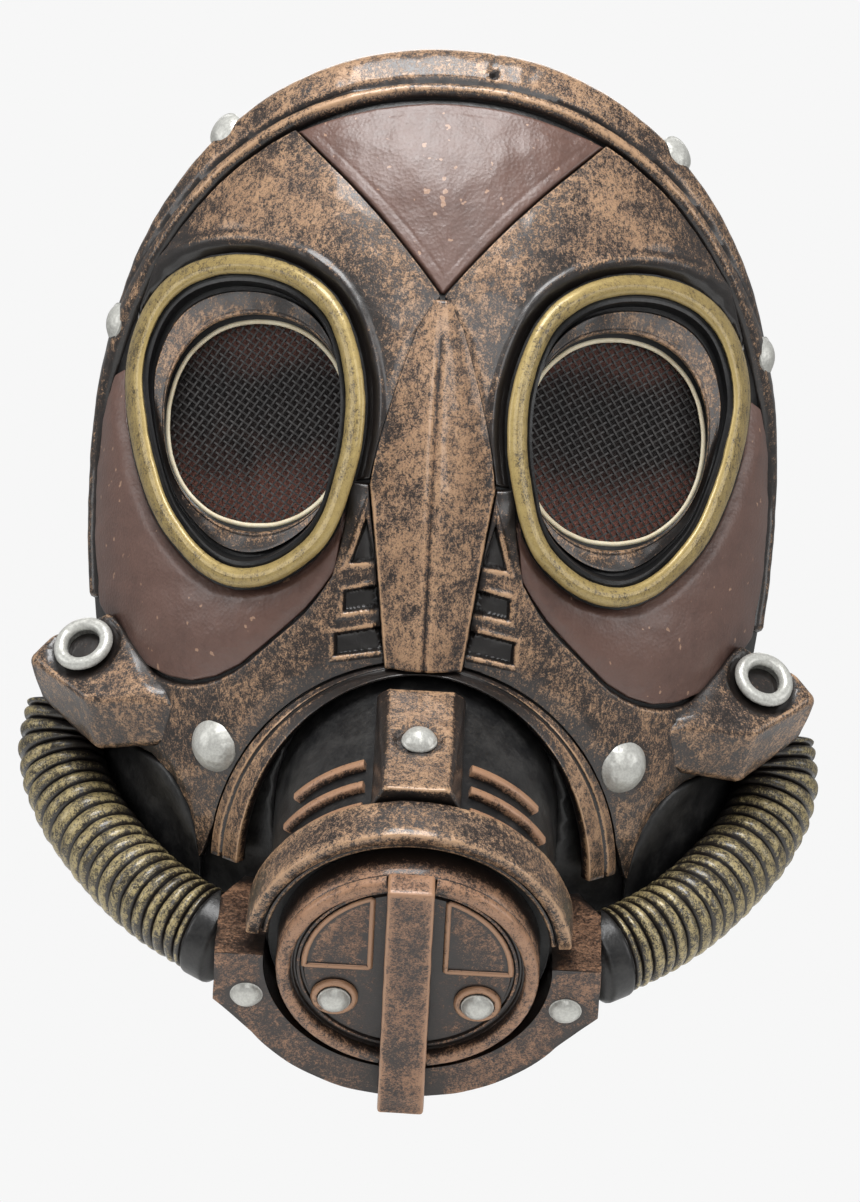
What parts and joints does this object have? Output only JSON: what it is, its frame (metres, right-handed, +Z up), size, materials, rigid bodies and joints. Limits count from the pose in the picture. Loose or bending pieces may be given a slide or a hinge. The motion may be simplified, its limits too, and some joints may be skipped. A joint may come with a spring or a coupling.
{
  "type": "gas mask style costume mask",
  "caption": "Front-only moulded latex costume mask with meshed round goggles, a downward-tilted snout with a barred cap, side hoses, eyelets and an elastic head strap",
  "frame": {"origin": "midway between the temple edges of the rim, in the opening that the head goes into", "axes": "+Z up towards the crown, the mask faces -Y, +X towards the wearer's left"},
  "size_m": [0.244, 0.2624, 0.3203],
  "materials": {
    "latex_black": "matt black latex",
    "latex_copper": "copper dry-brushed over black latex",
    "latex_leather": "brown leather-look latex",
    "latex_brass": "brass dry-brushed over black latex",
    "latex_silver": "silver paint on latex",
    "latex_bare": "bare cream latex edge",
    "mesh_black": "black woven mesh",
    "gauze": "dark brown gauze",
    "elastic": "black woven elastic",
    "post_steel": "satin",
    "keeper_plastic": "satin"
  },
  "bodies": {
    "mask": {"face_shell": "latex_black", "crown_band": "latex_copper", "forehead_panel": "latex_leather", "brow_plate_left": "latex_copper", "brow_plate_right": "latex_copper", "cheek_panel_left": "latex_leather", "cheek_panel_right": "latex_leather", "cheek_bracket_left": "latex_copper", "cheek_bracket_right": "latex_copper", "ear_block_left": "latex_copper", "ear_block_right": "latex_copper", "eyelet_left": "latex_silver", "eyelet_right": "latex_silver", "hose_web_left": "latex_black", "hose_web_right": "latex_black", "nose_ridge": "latex_copper", "vent_inlays_left": "latex_black", "vent_inlays_right": "latex_black", "goggle_rim_left": "latex_brass", "goggle_rim_right": "latex_brass", "goggle_cup_left": "latex_black", "goggle_cup_right": "latex_black", "goggle_bezel_left": "latex_copper", "goggle_bezel_right": "latex_copper", "mesh_edge_left": "latex_bare", "mesh_edge_right": "latex_bare", "mesh_screen_left": "mesh_black", "mesh_screen_right": "mesh_black", "mesh_lining_left": "gauze", "mesh_lining_right": "gauze", "snout_arch": "latex_copper", "snout_barrel": "latex_black", "barrel_slats": "latex_black", "bridge_block": "latex_copper", "brow_band": "latex_copper", "jaw_housing": "latex_copper", "cap_disc": "latex_copper", "cap_rim": "latex_copper", "cap_windows": "latex_copper", "cap_bar": "latex_copper", "cap_washers": "latex_copper", "hose_left": "latex_brass", "hose_right": "latex_brass", "hose_cuffs": "latex_black", "crown_rivets": "latex_silver", "cheek_rivets": "latex_silver", "bridge_rivet": "latex_silver", "jaw_rivets": "latex_silver", "cap_rivets": "latex_silver", "strap_posts": "post_steel"},
    "strap": {"strap_left": "elastic", "strap_right": "elastic"},
    "keeper": {"strap_keeper": "keeper_plastic"}
  },
  "joints": [
    {"name": "strap_swing", "type": "hinge", "parent": "mask", "child": "strap", "pos_m": [0, -0.018, 0.0456], "axis": [1, 0, 0], "range_deg": [-40, 65]},
    {"name": "keeper_slide", "type": "hinge", "parent": "strap", "child": "keeper", "pos_m": [0, 0.03, 0.0456], "axis": [0, 0, 1], "range_deg": [-11, 11]}
  ]
}
